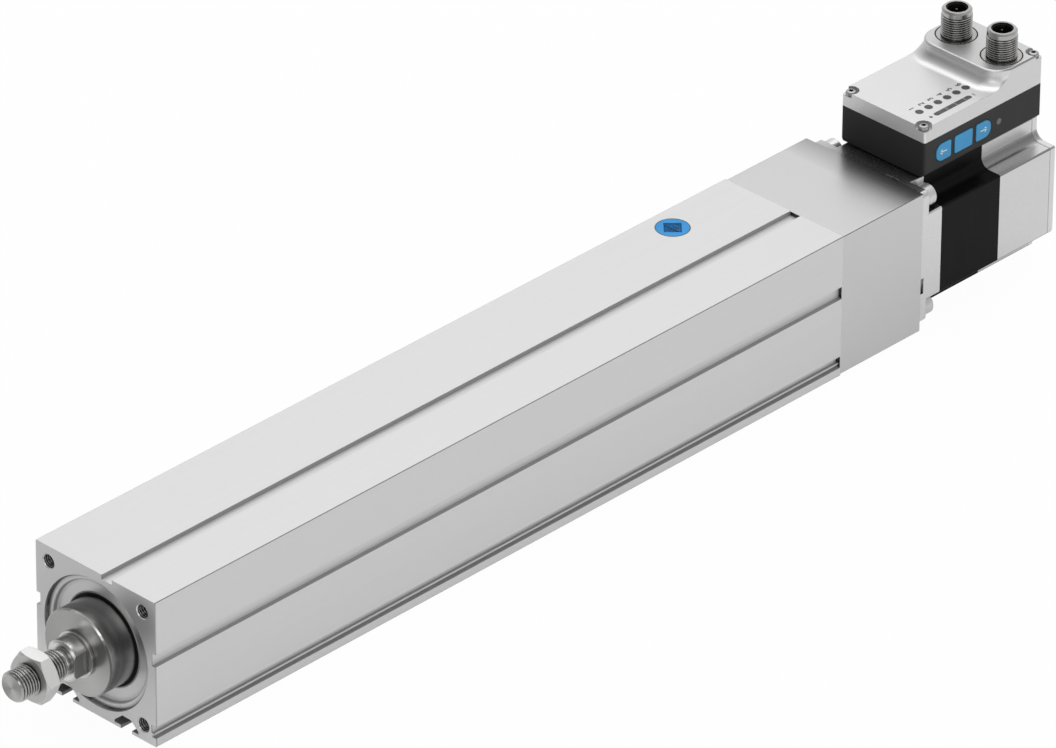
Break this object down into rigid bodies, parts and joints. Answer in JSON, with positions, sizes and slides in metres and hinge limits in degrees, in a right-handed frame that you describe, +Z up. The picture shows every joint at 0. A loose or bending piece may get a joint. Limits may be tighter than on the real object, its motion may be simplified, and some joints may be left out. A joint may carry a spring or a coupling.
{
  "type": "electric cylinder",
  "caption": "Electric cylinder: square grooved aluminium barrel, threaded piston rod, and a rear motor with a keypad and plug connector box on top.",
  "frame": {"origin": "on the rod's axis, at the front face of the barrel, centre of the four tapped corner holes", "axes": "+X the way the rod extends, +Z up towards the electronics box, +Y towards the keypad side"},
  "size_m": [0.5167, 0.06, 0.0983],
  "materials": {
    "anodised_profile": "light satin natural anodising, fine lengthwise drawing lines",
    "anodised_housing": "satin anodised, fine machined",
    "machined_aluminium": "turned and milled, satin",
    "cast_silver": "die cast, fine blasted, silver",
    "black_laminations": "black painted steel laminations",
    "ground_steel": "ground and polished",
    "turned_steel": "turned, slightly dark",
    "zinc_steel": "bright zinc plated",
    "nickel_brass": "nickel plated",
    "copper_wire": "enamelled copper wire",
    "gold_contact": "gold flashed",
    "magnet_grey": "sintered magnet",
    "black_rubber": "matt elastomer",
    "orange_elastomer": "matt elastomer",
    "guide_polymer": "low friction polymer",
    "dark_plastic": "fine textured dark grey",
    "black_plastic": "matt black",
    "blue_key": "soft touch blue",
    "blue_plastic": "blue moulded",
    "blue_mesh": "sintered blue filter",
    "smoked_lens": "smoked, clear when lit",
    "circuit_board": "green solder mask"
  },
  "bodies": {
    "cylinder": {"profile_barrel": "anodised_profile", "front_bearing_cap": "machined_aluminium", "rod_wiper_seal": "black_rubber", "rod_guide_bush": "guide_polymer", "vent_filter_cap": "blue_plastic", "vent_filter_mesh": "blue_mesh", "front_buffer": "orange_elastomer", "rear_buffer": "orange_elastomer", "bearing_housing": "anodised_housing", "spindle_bearing_outer_rings": "ground_steel", "bearing_clamp_ring": "turned_steel", "motor_flange": "cast_silver", "motor_stator": "black_laminations", "motor_windings": "copper_wire", "motor_rear_housing": "cast_silver", "motor_end_cap": "cast_silver", "motor_bearing_outer_rings": "ground_steel", "motor_screws": "zinc_steel", "end_cap_screws": "zinc_steel", "electronics_base": "dark_plastic", "cover_gasket": "black_rubber", "electronics_cover": "cast_silver", "cover_screws": "zinc_steel", "drive_board": "circuit_board", "encoder_board": "circuit_board", "encoder_ribbon": "guide_polymer", "connector_shells": "nickel_brass", "connector_inserts": "black_plastic", "connector_pins": "gold_contact", "connector_seals": "black_rubber", "status_light_guides": "smoked_lens", "level_light_guide": "smoked_lens", "link_light_guide": "smoked_lens", "keypad_board": "circuit_board", "key_switches": "black_plastic"},
    "rod": {"piston_rod": "ground_steel", "rod_end": "turned_steel", "rod_nut": "zinc_steel", "piston": "machined_aluminium", "piston_guide_rings": "guide_polymer", "piston_magnet": "magnet_grey", "ball_nut": "ground_steel", "anti_turn_keys": "guide_polymer"},
    "spindle": {"ball_screw": "ground_steel", "spindle_bearing_inner_rings": "ground_steel", "spindle_lock_nut": "turned_steel", "spindle_support_bush": "guide_polymer", "coupling_hub_spindle": "machined_aluminium", "coupling_spider": "orange_elastomer", "coupling_hub_motor": "machined_aluminium", "motor_shaft": "ground_steel", "rotor": "magnet_grey", "encoder_magnet": "magnet_grey", "motor_bearing_inner_rings": "ground_steel"},
    "key_back": {"key_back": "blue_key"},
    "key_edit": {"key_edit": "blue_key"},
    "key_forward": {"key_forward": "blue_key"}
  },
  "joints": [
    {"name": "rod_slide", "type": "slide", "parent": "cylinder", "child": "rod", "axis": [1, 0, 0], "range_m": [0, 0.2]},
    {"name": "spindle_turn", "type": "hinge", "parent": "cylinder", "child": "spindle", "pos_m": [-0.36, 0, 0], "axis": [1, 0, 0], "range_deg": [-6001, 1]},
    {"name": "key_back_press", "type": "slide", "parent": "cylinder", "child": "key_back", "axis": [0, -1, 0], "range_m": [0, 0.0004], "stiffness_N_per_m": 3000, "springref_m": -0.0003},
    {"name": "key_edit_press", "type": "slide", "parent": "cylinder", "child": "key_edit", "axis": [0, -1, 0], "range_m": [0, 0.0004], "stiffness_N_per_m": 3000, "springref_m": -0.0003},
    {"name": "key_forward_press", "type": "slide", "parent": "cylinder", "child": "key_forward", "axis": [0, -1, 0], "range_m": [0, 0.0004], "stiffness_N_per_m": 3000, "springref_m": -0.0003}
  ],
  "couplings": [
    {"joint": "spindle_turn", "follows": "rod_slide", "rad_per_m": -523.6}
  ]
}
